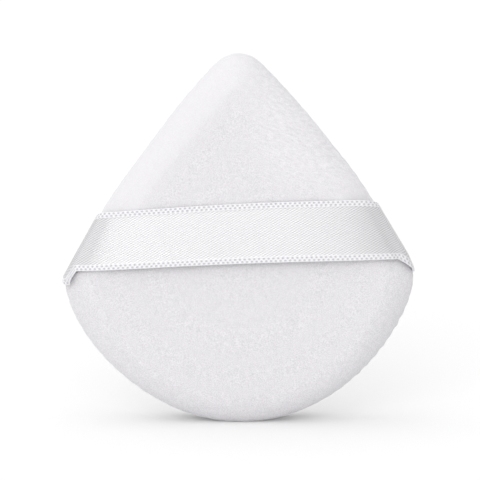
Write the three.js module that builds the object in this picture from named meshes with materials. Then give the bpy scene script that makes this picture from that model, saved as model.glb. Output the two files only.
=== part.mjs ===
// Teardrop powder puff with a satin finger strap, standing on its round edge.
// Millimetres, +Z up, the strap faces -Y. The origin lies on the surface that the puff stands on,
// under the middle of the puff and its strap.
// The puff is sewn inside out from two velour panels, turned, filled with a foam core and closed by hand.
// The strap is a length of ribbon whose two ends are caught in the side seam.
import * as THREE from "three";

// Outline of the puff, seen from the strap side
const PUFF_HEIGHT = 70;
const PUFF_WIDTH = 66;
const SHOULDER_HEIGHT = 28; // height of the widest place
const APEX_RADIUS = 5.5;
const LEAST_TIP_RADIUS = 0.3; // kept by the inner layers of the tip
const APEX_TURN = THREE.MathUtils.degToRad(43.4); // turn from the tip to the straight flank
const FLANK_LEAD = 13.4; // curve handles: the longer one is, the straighter its stretch
const SHOULDER_RISE = 4.7;
const SHOULDER_DROP = 9.4;
const BASE_REACH = 19.4;
const FOOT_CUT = 0.4; // depth of the flat that the soft edge takes where it stands

// Cushion section, measured from the seam plane
const EDGE_HALF_THICKNESS = 5.2; // where the rolled edge runs into the face
const CROWN = 1.3; // further rise at the middle of each face
const CROWN_HEIGHT = 30; // height of that middle above the foot
const CROWN_REACH = 27; // distance from the outline over which the crown rises
const ROLL_WIDTH = 5.4; // width of the rolled edge
const SEAM_DEPTH = 0.9; // how far the stitching draws the seam in

// Velour panels and their seam
const VELOUR_THICKNESS = 1.5; // knitted ground and pile
const ALLOWANCE_WIDTH = 3.6; // edge turned inwards beyond the stitching
const ALLOWANCE_THICKNESS = 0.6; // ground alone, its pile pressed flat
const SEAM_GAP = 0.3; // between the two panels
const FIT_GAP = 0.3; // between any other two neighbours
const TAIL_LIP = 3.5; // stretch of seam over which the panels close again beside a ribbon end

// Strap ribbon
const RIBBON_WIDTH = 11.1;
const RIBBON_THICKNESS = 0.32;
const SELVEDGE_WIDTH = 1.2;
const SELVEDGE_RELIEF = 0.07; // how much the woven edge stands proud on each side
const STRAP_HEIGHT = 37; // middle of the ribbon above the foot
const STRAP_TILT = THREE.MathUtils.degToRad(2.2); // sewn a little askew
const STRAP_SLACK = 1.2; // between the ribbon at rest and the crown of the puff
const STRAP_SQUARENESS = 3; // exponent of the arch: 2 is an ellipse, more is flatter on top
const STRAP_SLIP = 2.5; // drop of the ribbon as it turns round the slanting edge

// Sewing threads
const THREAD_RADIUS = 0.2;
const STITCH_LENGTH = 3;
const STITCH_LIFT = 0.1; // rise of a stitch between two needle holes
const CLOSING_START = 20; // turning gap, measured along the seam from under the tip
const CLOSING_LENGTH = 24;
const LADDER_PITCH = 2.4;

// Facets
const APEX_STEPS = 4;
const FLANK_STEPS = 11;
const BASE_STEPS = 17;
const ROLL_STEPS = 4;
const CROWN_STEPS = 3;
const STRAP_STEPS = 28;
const WEB_STEPS = 3;
const TAIL_STEPS = 3;
const THREAD_SIDES = 5;

// Sizes that follow from those
const FACE_PEAK = EDGE_HALF_THICKNESS + CROWN;
const SELVEDGE_HALF = RIBBON_THICKNESS / 2 + SELVEDGE_RELIEF;
const STRAP_PEAK = FACE_PEAK + STRAP_SLACK + SELVEDGE_HALF; // middle of the ribbon's thickness
const STRAP_REACH = STRAP_PEAK + SELVEDGE_HALF;
const TAIL_HALF_GAP = SELVEDGE_HALF + FIT_GAP; // half of the seam gap where it holds a ribbon end
const STITCH_ROOM = 2 * THREAD_RADIUS + STITCH_LIFT + 2 * FIT_GAP; // between an allowance and the core
const ROLL_START = TAIL_HALF_GAP + ALLOWANCE_THICKNESS + STITCH_ROOM; // where the roll stands out furthest

const VELOUR_WHITE = new THREE.MeshStandardMaterial({ color: 0xe9e7ea, roughness: 0.95, metalness: 0 });
const FOAM_WHITE = new THREE.MeshStandardMaterial({ color: 0xf3efe4, roughness: 1, metalness: 0 });
const SATIN_WHITE = new THREE.MeshStandardMaterial({ color: 0xf4f3f6, roughness: 0.35, metalness: 0 });
const THREAD_WHITE = new THREE.MeshStandardMaterial({ color: 0xefeeee, roughness: 0.6, metalness: 0 });

// Outline

// Right half of the outline moved inwards by inset, from the tip down to the foot: an arc over the tip,
// then one curve down the flank to the widest place and one round the base.
function rightOutline(inset) {
  const tipRadius = Math.max(APEX_RADIUS - inset, LEAST_TIP_RADIUS);
  const tipDrop = (tipRadius - APEX_RADIUS + inset) / Math.cos(APEX_TURN);
  const tipCentre = PUFF_HEIGHT - APEX_RADIUS - tipDrop;
  const halfWidth = PUFF_WIDTH / 2 - inset;
  const share = halfWidth / (PUFF_WIDTH / 2); // a smaller outline has shorter handles
  const arcPoint = (turn) =>
    new THREE.Vector2(tipRadius * Math.sin(turn), tipCentre + tipRadius * Math.cos(turn));
  const flankStart = arcPoint(APEX_TURN);
  const flankWay = new THREE.Vector2(Math.cos(APEX_TURN), -Math.sin(APEX_TURN));
  const shoulder = new THREE.Vector2(halfWidth, SHOULDER_HEIGHT);
  const flank = new THREE.CubicBezierCurve(
    flankStart,
    flankStart.clone().addScaledVector(flankWay, FLANK_LEAD * share),
    new THREE.Vector2(halfWidth, SHOULDER_HEIGHT + SHOULDER_RISE * share),
    shoulder,
  );
  const foot = new THREE.Vector2(0, inset - FOOT_CUT);
  const base = new THREE.CubicBezierCurve(
    shoulder,
    new THREE.Vector2(halfWidth, SHOULDER_HEIGHT - SHOULDER_DROP * share),
    new THREE.Vector2(BASE_REACH * share, foot.y),
    foot,
  );
  const arc = Array.from({ length: APEX_STEPS }, (_, i) => arcPoint((APEX_TURN * i) / APEX_STEPS));
  return [...arc, ...flank.getPoints(FLANK_STEPS).slice(0, -1), ...base.getPoints(BASE_STEPS)];
}

// The whole outline as a closed loop, from the tip clockwise as seen from the strap side.
function outlineLoop(inset) {
  const right = rightOutline(inset);
  const left = right.slice(1, -1).reverse();
  return [...right, ...left.map((p) => new THREE.Vector2(-p.x, p.y))];
}

// Half-width of the outline at a height, for heights between the foot and the tip.
function halfWidthAt(height, inset) {
  const side = rightOutline(inset);
  const below = side.findIndex((p) => p.y <= height);
  const [upper, lower] = [side[below - 1], side[below]];
  return THREE.MathUtils.mapLinear(height, upper.y, lower.y, upper.x, lower.x);
}

// Strap layout, which the panels and the tails share

// Height at which the ribbon passes, from side -1 (left) to 1 (right) and from its lower edge, across -1,
// to its upper edge, across 1. Sunk is 0 on the face and 1 where the ribbon reaches the seam.
function ribbonHeight(side, across, sunk) {
  const middle = STRAP_HEIGHT + side * Math.tan(STRAP_TILT) * halfWidthAt(STRAP_HEIGHT, 0);
  return middle + (across * RIBBON_WIDTH) / 2 - STRAP_SLIP * sunk;
}

// Half of the gap between the two panels at a place on the seam: it opens round each ribbon end.
function seamHalfGap(place) {
  const side = Math.sign(place.x);
  const middle = ribbonHeight(side, 0, 1);
  const past = Math.abs(place.y - middle) - RIBBON_WIDTH / 2;
  const open = side === 0 ? 0 : 1 - THREE.MathUtils.smoothstep(past, TAIL_LIP, 3 * TAIL_LIP);
  return THREE.MathUtils.lerp(SEAM_GAP / 2, TAIL_HALF_GAP, open);
}

// Cushion surfaces

// Loop of points at a depth in from the outline and a height off the seam plane, flattened at the foot.
function loopAt(inset, offPlane) {
  return outlineLoop(inset).map((p) => new THREE.Vector3(p.x, -offPlane(p), Math.max(p.y, 0)));
}

// Rise of the crown at a share of the way from the middle, 0, to the outline, 1.
function crownRise(share) {
  return CROWN * (1 - share * share);
}

// Loops of a domed surface that lies depth under the outside: up the rolled edge, then in to the middle.
function domeLoops(depth) {
  const loops = [];
  const width = ROLL_WIDTH - depth;
  const rise = EDGE_HALF_THICKNESS - ROLL_START - depth;
  for (let i = 0; i <= ROLL_STEPS; i++) {
    const angle = (Math.PI / 2) * (i / ROLL_STEPS);
    const inset = ROLL_WIDTH - width * Math.cos(angle);
    const height = ROLL_START + rise * Math.sin(angle) + crownRise(1 - inset / CROWN_REACH);
    loops.push(loopAt(inset, () => height));
  }
  const rim = loops[ROLL_STEPS];
  const rimShare = 1 - ROLL_WIDTH / CROWN_REACH;
  for (let i = 1; i < CROWN_STEPS; i++) {
    const share = 1 - i / CROWN_STEPS;
    const height = EDGE_HALF_THICKNESS - depth + crownRise(rimShare * share);
    const middle = new THREE.Vector3(0, -height, CROWN_HEIGHT);
    loops.push(rim.map((p) => new THREE.Vector3(p.x, -height, p.z).lerp(middle, 1 - share)));
  }
  return loops;
}

// Middle of a domed surface that lies depth under the outside.
function domePole(depth) {
  return new THREE.Vector3(0, -(FACE_PEAK - depth), CROWN_HEIGHT);
}

// Closed surface over a row of loops, ending in a point at each end.
function skinOverLoops(firstPole, loops, lastPole) {
  const count = loops[0].length;
  const points = [firstPole, ...loops.flat(), lastPole];
  const last = points.length - 1;
  const at = (row, i) => 1 + row * count + (i % count);
  const faces = [];
  for (let i = 0; i < count; i++) {
    faces.push(0, at(0, i + 1), at(0, i));
    for (let row = 0; row + 1 < loops.length; row++) {
      faces.push(at(row, i), at(row, i + 1), at(row + 1, i + 1));
      faces.push(at(row, i), at(row + 1, i + 1), at(row + 1, i));
    }
    faces.push(last, at(loops.length - 1, i), at(loops.length - 1, i + 1));
  }
  return new THREE.BufferGeometry().setFromPoints(points).setIndex(faces);
}

// One velour panel: face, rolled edge, seam line, turned-in allowance, and back along its inner side.
function panelGeometry() {
  const allowanceTop = (p) => seamHalfGap(p) + ALLOWANCE_THICKNESS;
  const halfRoll = (p) => (seamHalfGap(p) + ROLL_START) / 2;
  const outside = domeLoops(0).reverse();
  const inside = domeLoops(VELOUR_THICKNESS);
  const edge = [
    loopAt(SEAM_DEPTH / 4, halfRoll),
    loopAt(SEAM_DEPTH, seamHalfGap),
    loopAt(SEAM_DEPTH + ALLOWANCE_WIDTH, seamHalfGap),
    loopAt(SEAM_DEPTH + ALLOWANCE_WIDTH, allowanceTop),
    loopAt(VELOUR_THICKNESS, allowanceTop),
  ];
  return skinOverLoops(domePole(0), [...outside, ...edge, ...inside], domePole(VELOUR_THICKNESS));
}

// The other panel is the same cut, turned over.
function turnedOver(geometry) {
  const turned = geometry.clone().scale(1, -1, 1);
  const faces = turned.index.array;
  for (let i = 0; i < faces.length; i += 3) {
    [faces[i + 1], faces[i + 2]] = [faces[i + 2], faces[i + 1]];
  }
  return turned;
}

// Foam core: fills the panels, with a groove round its rim where it closes over the seam allowances.
function coreGeometry() {
  const depth = VELOUR_THICKNESS + FIT_GAP;
  const grooveHalf = (p) => seamHalfGap(p) + ALLOWANCE_THICKNESS + STITCH_ROOM;
  const grooveFloor = SEAM_DEPTH + ALLOWANCE_WIDTH + FIT_GAP;
  const half = [...domeLoops(depth).reverse(), loopAt(depth, grooveHalf), loopAt(grooveFloor, grooveHalf)];
  const mirrored = half.map((loop) => loop.map((p) => new THREE.Vector3(p.x, -p.y, p.z))).reverse();
  const pole = domePole(depth);
  return skinOverLoops(pole, [...half, ...mirrored], new THREE.Vector3(pole.x, -pole.y, pole.z));
}

// Strap

// Closed sheet between two like grids of points, the first of which is the outer side.
function sheetBetween(outer, inner) {
  const rows = outer.length;
  const columns = outer[0].length;
  const points = [...outer.flat(), ...inner.flat()];
  const top = (r, c) => r * columns + c;
  const under = (r, c) => rows * columns + r * columns + c;
  const faces = [];
  const quad = (a, b, c, d) => faces.push(a, b, c, a, c, d);
  for (let r = 0; r + 1 < rows; r++) {
    for (let c = 0; c + 1 < columns; c++) {
      quad(top(r, c), top(r + 1, c), top(r + 1, c + 1), top(r, c + 1));
      quad(under(r, c), under(r, c + 1), under(r + 1, c + 1), under(r + 1, c));
    }
    quad(top(r, 0), under(r, 0), under(r + 1, 0), top(r + 1, 0));
    quad(top(r, columns - 1), top(r + 1, columns - 1), under(r + 1, columns - 1), under(r, columns - 1));
  }
  for (let c = 0; c + 1 < columns; c++) {
    quad(top(0, c), top(0, c + 1), under(0, c + 1), under(0, c));
    quad(top(rows - 1, c), under(rows - 1, c), under(rows - 1, c + 1), top(rows - 1, c + 1));
  }
  return new THREE.BufferGeometry().setFromPoints(points).setIndex(faces);
}

// Places across the ribbon, with half of its thickness there: a flat web between two raised selvedges.
const selvedgeEdge = 1 - SELVEDGE_WIDTH / (RIBBON_WIDTH / 2);
const selvedgeFoot = selvedgeEdge - SELVEDGE_RELIEF / (RIBBON_WIDTH / 2);
const web = Array.from({ length: WEB_STEPS + 1 }, (_, i) => selvedgeFoot * ((2 * i) / WEB_STEPS - 1));
const RIBBON_SECTION = [-1, -selvedgeEdge, ...web, selvedgeEdge, 1].map((across) => ({
  across,
  half: Math.abs(across) < selvedgeEdge ? RIBBON_THICKNESS / 2 : SELVEDGE_HALF,
}));

// A point in the middle of the ribbon's thickness. Along is 0 at the top of the arch, 1 where the ribbon
// meets the rolled edge and 2 at the seam, with a minus sign on the left. The arch is a superellipse, and
// the ribbon slips down the slanting edge as it turns round it.
function strapPoint(along, across) {
  const side = along < 0 ? -1 : 1;
  const angle = (Math.PI / 2) * Math.min(Math.abs(along), 1);
  const power = 2 / STRAP_SQUARENESS;
  const out = Math.sin(angle) ** power;
  const arch = THREE.MathUtils.lerp(ROLL_START, STRAP_PEAK, Math.cos(angle) ** power);
  const pastRoll = Math.max(Math.abs(along) - 1, 0);
  const reach = THREE.MathUtils.lerp(arch, TAIL_HALF_GAP, pastRoll);
  const sunk = 1 - THREE.MathUtils.smoothstep(reach, TAIL_HALF_GAP, FACE_PEAK);
  const height = ribbonHeight(side, across, sunk);
  const lean = ribbonHeight(0, across, sunk);
  const halfSpan = halfWidthAt(height, -FIT_GAP - SELVEDGE_HALF);
  return new THREE.Vector3(side * out * halfSpan, -reach, THREE.MathUtils.lerp(lean, height, out));
}

// The free ribbon, from just short of one seam to just short of the other.
function strapGeometry() {
  const arch = Array.from({ length: STRAP_STEPS + 1 }, (_, i) => (2 * i) / STRAP_STEPS - 1);
  const stations = [-2, ...arch, 2];
  const nudge = 0.1 / STRAP_STEPS;
  const skin = (sign) =>
    stations.map((along) =>
      RIBBON_SECTION.map(({ across, half }) => {
        const way = strapPoint(along + nudge, across).sub(strapPoint(along - nudge, across));
        const over = strapPoint(along, 1).sub(strapPoint(along, -1));
        const out = way.cross(over).normalize();
        return strapPoint(along, across).addScaledVector(out, sign * half);
      }),
    );
  return sheetBetween(skin(1), skin(-1));
}

// A ribbon end, lying flat between the two seam allowances.
function tailGeometry(side) {
  const outerInset = -FIT_GAP - 2 * SELVEDGE_HALF;
  const innerInset = SEAM_DEPTH + ALLOWANCE_WIDTH - FIT_GAP;
  const skin = (sign) =>
    Array.from({ length: TAIL_STEPS + 1 }, (_, i) => {
      const inset = THREE.MathUtils.lerp(outerInset, innerInset, i / TAIL_STEPS);
      return RIBBON_SECTION.map(({ across, half }) => {
        const height = ribbonHeight(side, across, 1);
        return new THREE.Vector3(side * halfWidthAt(height, inset), -sign * half, height);
      });
    });
  return side < 0 ? sheetBetween(skin(1), skin(-1)) : sheetBetween(skin(-1), skin(1));
}

// Threads

// Round thread through a row of points, one step to each point.
function threadGeometry(points) {
  const section = new THREE.Shape();
  for (let i = 0; i < THREAD_SIDES; i++) {
    const turn = (2 * Math.PI * i) / THREAD_SIDES;
    const corner = [THREAD_RADIUS * Math.cos(turn), THREAD_RADIUS * Math.sin(turn)];
    if (i === 0) section.moveTo(...corner);
    else section.lineTo(...corner);
  }
  const path = new THREE.CatmullRomCurve3(points);
  return new THREE.ExtrudeGeometry(section, { steps: points.length - 1, extrudePath: path });
}

// The outline at an inset as a line that starts under the tip and runs up the right side, over the tip and
// down the left side. Gives a place for a distance along it.
function seamLine(inset) {
  const side = rightOutline(inset).reverse();
  const other = side.slice(0, -1).reverse();
  const places = [...side, ...other.map((p) => new THREE.Vector2(-p.x, p.y))];
  const line = new THREE.CurvePath();
  for (let i = 0; i + 1 < places.length; i++) line.add(new THREE.LineCurve(places[i], places[i + 1]));
  return line;
}

// Lockstitch thread on one seam allowance: up over each stitch and down to each needle hole, all the way
// round from one end of the turning gap to the other.
function lockstitchPoints(sign) {
  const line = seamLine(VELOUR_THICKNESS + FIT_GAP + THREAD_RADIUS);
  const start = CLOSING_START + CLOSING_LENGTH;
  const length = line.getLength() + CLOSING_START - start;
  const halves = 2 * Math.round(length / STITCH_LENGTH);
  const points = [];
  for (let i = 0; i <= halves; i++) {
    const distance = (start + (length * i) / halves) % line.getLength();
    const place = line.getPoint(distance / line.getLength());
    const lift = i % 2 === 0 ? 0 : STITCH_LIFT;
    const height = seamHalfGap(place) + ALLOWANCE_THICKNESS + FIT_GAP + THREAD_RADIUS + lift;
    points.push(new THREE.Vector3(place.x, sign * height, place.y));
  }
  return points;
}

// Ladder stitch that closes the turning gap: rungs across the drawn-in seam from panel to panel.
function ladderPoints() {
  const line = seamLine(SEAM_DEPTH / 2 - FIT_GAP);
  const rungs = Math.round(CLOSING_LENGTH / LADDER_PITCH);
  const points = [];
  for (let i = 0; i <= 2 * rungs; i++) {
    const distance = CLOSING_START + (CLOSING_LENGTH * i) / (2 * rungs);
    const place = line.getPoint(distance / line.getLength());
    const across = (i % 2 === 0 ? -1 : 1) * THREAD_RADIUS;
    points.push(new THREE.Vector3(place.x, across, place.y));
  }
  return points;
}

// Assembly

function piece(name, geometry, material) {
  const mesh = new THREE.Mesh(geometry, material);
  mesh.name = name;
  return mesh;
}

const panel = panelGeometry();
const puff = new THREE.Group();
puff.add(
  piece("strap_side_panel", panel, VELOUR_WHITE),
  piece("powder_side_panel", turnedOver(panel), VELOUR_WHITE),
  piece("foam_core", coreGeometry(), FOAM_WHITE),
  piece("seam_needle_thread", threadGeometry(lockstitchPoints(-1)), THREAD_WHITE),
  piece("seam_bobbin_thread", threadGeometry(lockstitchPoints(1)), THREAD_WHITE),
  piece("closing_thread", threadGeometry(ladderPoints()), THREAD_WHITE),
  piece("strap_ribbon", strapGeometry(), SATIN_WHITE),
  piece("strap_left_tail", tailGeometry(-1), SATIN_WHITE),
  piece("strap_right_tail", tailGeometry(1), SATIN_WHITE),
);
puff.position.y = (STRAP_REACH - FACE_PEAK) / 2;

const powderPuff = new THREE.Group();
powderPuff.add(puff);
export default powderPuff;
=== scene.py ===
"""Teardrop powder puff of white velour with a satin finger strap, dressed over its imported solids."""
import math
import bpy
import numpy as np
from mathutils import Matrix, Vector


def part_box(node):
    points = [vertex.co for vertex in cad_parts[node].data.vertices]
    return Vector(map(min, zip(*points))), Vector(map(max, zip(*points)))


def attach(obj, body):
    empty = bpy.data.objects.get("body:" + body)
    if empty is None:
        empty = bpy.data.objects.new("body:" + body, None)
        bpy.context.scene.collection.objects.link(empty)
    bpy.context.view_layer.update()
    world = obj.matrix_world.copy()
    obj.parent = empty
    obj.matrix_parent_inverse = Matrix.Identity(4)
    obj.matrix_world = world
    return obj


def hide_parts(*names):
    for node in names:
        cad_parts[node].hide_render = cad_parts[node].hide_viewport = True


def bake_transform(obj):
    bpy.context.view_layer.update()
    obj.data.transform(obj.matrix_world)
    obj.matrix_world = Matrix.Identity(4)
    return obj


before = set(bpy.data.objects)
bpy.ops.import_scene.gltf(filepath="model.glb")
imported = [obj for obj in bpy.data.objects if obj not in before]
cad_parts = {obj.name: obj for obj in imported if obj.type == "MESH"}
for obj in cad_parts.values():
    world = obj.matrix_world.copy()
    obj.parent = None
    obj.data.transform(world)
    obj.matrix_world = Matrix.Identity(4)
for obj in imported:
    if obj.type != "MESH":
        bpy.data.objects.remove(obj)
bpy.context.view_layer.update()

# Foam core
# One pad of fine open-cell cosmetic foam, cut to the teardrop and rounded over at its edge. A groove round
# its rim closes over the two seam allowances. It goes in through the turning gap and lies loose inside.

MM = 0.001  # lengths on the puff are in millimetres, and its meshes and materials in metres

front_high = np.array(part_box("strap_side_panel")[1]) / MM
back_low, back_high = np.array(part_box("powder_side_panel")) / MM
PUFF_HEIGHT = front_high[2]
HALF_WIDTH = front_high[0]
SEAM_Y = (front_high[1] + back_low[1]) / 2  # the two panels meet in this plane
FACE_PEAK = back_high[1] - SEAM_Y  # height of the middle of each face off that plane

SHOULDER_HEIGHT = 28.0  # height of the widest place
TIP_RADIUS = 5.9
LEAST_TIP_RADIUS = 0.3  # kept by the inner layers of the tip
TIP_TURN = math.radians(43.4)  # half of the tip's arc
FLANK_LEAD = 13.4  # curve handles: the longer one is, the straighter its stretch
SHOULDER_RISE = 4.7
SHOULDER_DROP = 9.4
BASE_REACH = 19.4
FOOT_CUT = 0.1  # depth of the flat that the soft edge takes where it stands
OUTLINE_STEPS = 6000
SWAY = 0.28  # how far the sewn outline swings to the left and right of true
SWAY_HEIGHT = 20.0  # where it swings furthest left
SWAY_LENGTH = 50.0  # how much higher it does so again, which is at the tip


def curve(t, start, lead, trail, end):
    """Point at a share t of the way along a cubic curve from start to end, drawn towards two handles."""
    t = t[..., None]
    return (1 - t) ** 3 * start + 3 * (1 - t) ** 2 * t * lead + 3 * (1 - t) * t**2 * trail + t**3 * end


def spot(x, z):
    """Points (x, z) from their two rows."""
    return np.stack(np.broadcast_arrays(x, z), -1)


def right_outline(part, inset):
    """Place (x, z) on the right half of the outline moved inwards by inset. Part runs from 0 at the tip to
    1 at the end of its arc, 2 at the widest place and 3 at the foot: an arc and two cubic curves. A smaller
    outline has a smaller arc and shorter handles."""
    radius = np.maximum(TIP_RADIUS - inset, LEAST_TIP_RADIUS)
    centre = PUFF_HEIGHT - TIP_RADIUS - (radius - TIP_RADIUS + inset) / math.cos(TIP_TURN)
    handle = 1 - inset / HALF_WIDTH
    turn = TIP_TURN * np.clip(part, 0, 1)
    arc = spot(radius * np.sin(turn), centre + radius * np.cos(turn))
    arc_end = spot(radius * math.sin(TIP_TURN), centre + radius * math.cos(TIP_TURN))
    flank_lead = FLANK_LEAD * spot(handle * math.cos(TIP_TURN), -handle * math.sin(TIP_TURN))
    widest = spot(HALF_WIDTH - inset, SHOULDER_HEIGHT)
    over_widest = widest + spot(0, SHOULDER_RISE * handle)
    under_widest = widest - spot(0, SHOULDER_DROP * handle)
    foot = spot(0, inset - FOOT_CUT)
    beside_foot = foot + spot(BASE_REACH * handle, 0)
    flank = curve(np.clip(part - 1, 0, 1), arc_end, arc_end + flank_lead, over_widest, widest)
    base = curve(np.clip(part - 2, 0, 1), widest, under_widest, beside_foot, foot)
    return np.select([(part < 1)[..., None], (part < 2)[..., None]], [arc, flank], base)


edge_parts = np.linspace(0, 3, OUTLINE_STEPS + 1)
half_edge = right_outline(edge_parts, np.zeros_like(edge_parts))
half_run = np.concatenate([[0], np.cumsum(np.linalg.norm(np.diff(half_edge, axis=0), axis=1))])
PERIMETER = 2 * half_run[-1]


def sway(height):
    """Sideways swing of the outline at a height: a cosine wave."""
    return -SWAY * np.cos(2 * np.pi * (height - SWAY_HEIGHT) / SWAY_LENGTH)


def on_edge(share, inset):
    """Place (x, z) at a share of the way round the outline, from the tip clockwise as seen from the strap
    side, moved inwards by inset."""
    share, inset = np.broadcast_arrays(np.mod(share, 1), np.asarray(inset, float))
    part = np.interp(np.minimum(share, 1 - share) * PERIMETER, half_run, edge_parts)
    place = right_outline(part, inset) * spot(np.where(share > 0.5, -1, 1), 1)
    return place + spot(sway(place[..., 1]), 0)


EDGE_HALF = 5.8  # height off the seam plane where the rolled edge runs into the face
CROWN = FACE_PEAK - EDGE_HALF
CROWN_MIDDLE = np.array([0, 30.0])
CROWN_REACH = 27.0  # distance from the outline over which the crown rises
ROLL_WIDTH = 5.4
FOOT_ROUNDNESS = 2.1  # exponent of the roll's curve at the foot: 2 is an ellipse
FLANK_ROUNDNESS = 1.5  # and up the flanks, where it is nearer to a slanting flat
ROUNDNESS_CHANGE = (2, 20)  # heights of the edge between which it passes from the one to the other
ROLL_START = 2.23  # height off the seam plane where the roll stands out furthest
SEAM_DEPTH = 0.9  # how far the stitching draws the seam in
SEAM_HALF_GAP = 0.07
VELOUR_THICKNESS = 1.5
ALLOWANCE_WIDTH = 3.6
ALLOWANCE_THICKNESS = 0.6
FIT_GAP = 0.3
CROWN_PART = 0.70  # where the roll starts, as a share of the way from the middle of the face to the seam
ROLL_PART = 0.90  # and where it ends


def smooth_step(value, low, high):
    """0 below low, 1 above high, and a smooth rise between them."""
    t = np.clip((value - low) / (high - low), 0, 1)
    return t * t * (3 - 2 * t)


def skin(out, share, depth, half_gap=SEAM_HALF_GAP):
    """Puff surface at a depth under its outside, as (x, height off the seam plane, z). Out is 0 in the
    middle of the face and 1 at the seam, which is half_gap off its plane. The crown is a parabola, the
    rolled edge a quarter of a superellipse, and from there a parabola draws the fabric in to the seam. What
    would reach below the floor is pressed flat."""
    crown_share = np.clip(out / CROWN_PART, 0, 1)
    roll = np.pi / 2 * np.clip((ROLL_PART - out) / (ROLL_PART - CROWN_PART), 0, 1)
    drawn = np.clip((out - ROLL_PART) / (1 - ROLL_PART), 0, 1)
    flank = smooth_step(on_edge(share, 0)[..., 1], *ROUNDNESS_CHANGE)
    power = 2 / (FOOT_ROUNDNESS + (FLANK_ROUNDNESS - FOOT_ROUNDNESS) * flank)
    inset = ROLL_WIDTH - (ROLL_WIDTH - depth) * np.clip(np.cos(roll), 0, 1) ** power
    on_crown = crown_share * (1 - ROLL_WIDTH / CROWN_REACH)
    off_middle = np.where(crown_share < 1, on_crown, 1 - inset / CROWN_REACH)
    rise = (EDGE_HALF - ROLL_START - depth) * np.sin(roll) ** power
    height = ROLL_START + rise + CROWN * (1 - off_middle**2)
    height = height + (half_gap - height) * drawn
    place = on_edge(share, inset + SEAM_DEPTH * drawn**2)
    place = CROWN_MIDDLE + crown_share[..., None] * (place - CROWN_MIDDLE)
    return np.stack([place[..., 0], height, np.maximum(place[..., 1], 0)], -1)


def edge_ring(share, inset, height):
    """Ring of points (x, height off the seam plane, z) at one inset from the outline."""
    place = on_edge(share, inset)
    return np.stack([place[:, 0], np.broadcast_to(height, share.shape), np.maximum(place[:, 1], 0)], -1)


def ring_faces(first, rings, size):
    """Four-cornered faces between rows of points that close on themselves. Row k starts at point
    first + k * size."""
    row = first + size * np.arange(rings - 1)[:, None]
    i, j = np.arange(size), (np.arange(size) + 1) % size
    return np.stack([row + i, row + j, row + size + j, row + size + i], -1).reshape(-1, 4)


def make_piece(name, points, face_sets, turned=False):
    """Smooth mesh object from points in millimetres and arrays of faces, turned over if asked."""
    faces = [face for rows in face_sets for face in (rows[:, ::-1] if turned else rows).tolist()]
    mesh = bpy.data.meshes.new(name)
    mesh.from_pydata(points * MM, [], faces)
    mesh.shade_smooth()
    piece = bpy.data.objects.new(name, mesh)
    bpy.context.scene.collection.objects.link(piece)
    return piece


def linear(hex_colour):
    """Linear red, green, blue and alpha of an sRGB colour such as #f2efe6."""
    srgb = np.array([int(hex_colour[i : i + 2], 16) / 255 for i in (1, 3, 5)])
    return (*np.where(srgb <= 0.04045, srgb / 12.92, ((srgb + 0.055) / 1.055) ** 2.4), 1)


def add_node(tree, kind, inputs=(), **settings):
    """Adds a shader node, gives it its settings, and sets or links its inputs."""
    node = tree.nodes.new("ShaderNode" + kind)
    for name, value in settings.items():
        setattr(node, name, value)
    for name, value in dict(inputs).items():
        if isinstance(value, bpy.types.NodeSocket):
            tree.links.new(value, node.inputs[name])
        else:
            node.inputs[name].default_value = value
    return node


def new_material(name):
    """Empty node material, and its tree."""
    material = bpy.data.materials.new(name)
    material.use_nodes = True
    material.node_tree.nodes.clear()
    return material, material.node_tree


CORE_COLUMNS = 240
core_depth = VELOUR_THICKNESS + FIT_GAP
core_share = np.arange(CORE_COLUMNS) / CORE_COLUMNS
core_out = [*np.linspace(0.1, 0.6, 5) * CROWN_PART, *np.linspace(CROWN_PART, ROLL_PART, 9)]
core_half = [skin(np.full(CORE_COLUMNS, out), core_share, core_depth) for out in core_out]
core_half.append(edge_ring(core_share, SEAM_DEPTH + ALLOWANCE_WIDTH + FIT_GAP, ROLL_START))
turned_over = np.array([1, -1, 1])
core_rings = np.array(core_half + [ring * turned_over for ring in core_half[::-1]])
core_pole = np.array([[0, FACE_PEAK - core_depth, CROWN_MIDDLE[1]]])
core_points = np.vstack([core_pole, core_rings.reshape(-1, 3), core_pole * turned_over])
core_points = core_points * turned_over + [0, SEAM_Y, 0]
around = np.arange(CORE_COLUMNS)
beside = (around + 1) % CORE_COLUMNS
last_ring = 1 + (len(core_rings) - 1) * CORE_COLUMNS
core_faces = [
    np.stack([1 + around, 1 + beside, 0 * around], 1),
    ring_faces(1, len(core_rings), CORE_COLUMNS),
    np.stack([0 * around + len(core_points) - 1, last_ring + beside, last_ring + around], 1),
]
foam_pad = make_piece("foam_pad", core_points, core_faces)

# Open-cell polyurethane foam: matt cream, with small open pores over the cut surface, painted darker as the
# shade in them.
foam, tree = new_material("open_cell_foam")
PORE_SIZE = 0.6 * MM
PORE_DEPTH = 0.2 * MM
here = add_node(tree, "TexCoord").outputs["Object"]
pores = add_node(tree, "TexVoronoi", {"Vector": here, "Scale": 1 / PORE_SIZE}).outputs["Distance"]
# painted shade: the pores, dents in the bump below, take the darker cream
foam_colour = add_node(tree, "ValToRGB", {"Fac": pores})
foam_colour.color_ramp.elements[0].color = linear("#d9d0bb")
foam_colour.color_ramp.elements[1].color = linear("#f4efe3")
foam_relief = add_node(tree, "Bump", {"Height": pores, "Strength": 0.6, "Distance": PORE_DEPTH})
foam_surface = add_node(
    tree,
    "BsdfPrincipled",
    {
        "Base Color": foam_colour.outputs["Color"],
        "Roughness": 0.95,
        "Specular IOR Level": 0.2,
        "Normal": foam_relief.outputs["Normal"],
    },
)
add_node(tree, "OutputMaterial", {"Surface": foam_surface.outputs["BSDF"]})
foam_pad.data.materials.append(foam)
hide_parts("foam_core")
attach(foam_pad, "puff")

# Velour panels
# Two like teardrops of white polyester velour, a knitted ground with a short sheared pile. They are sewn
# inside out round the edge, turned, and swell over the foam; the seam draws in, with its allowances inside.

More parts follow.
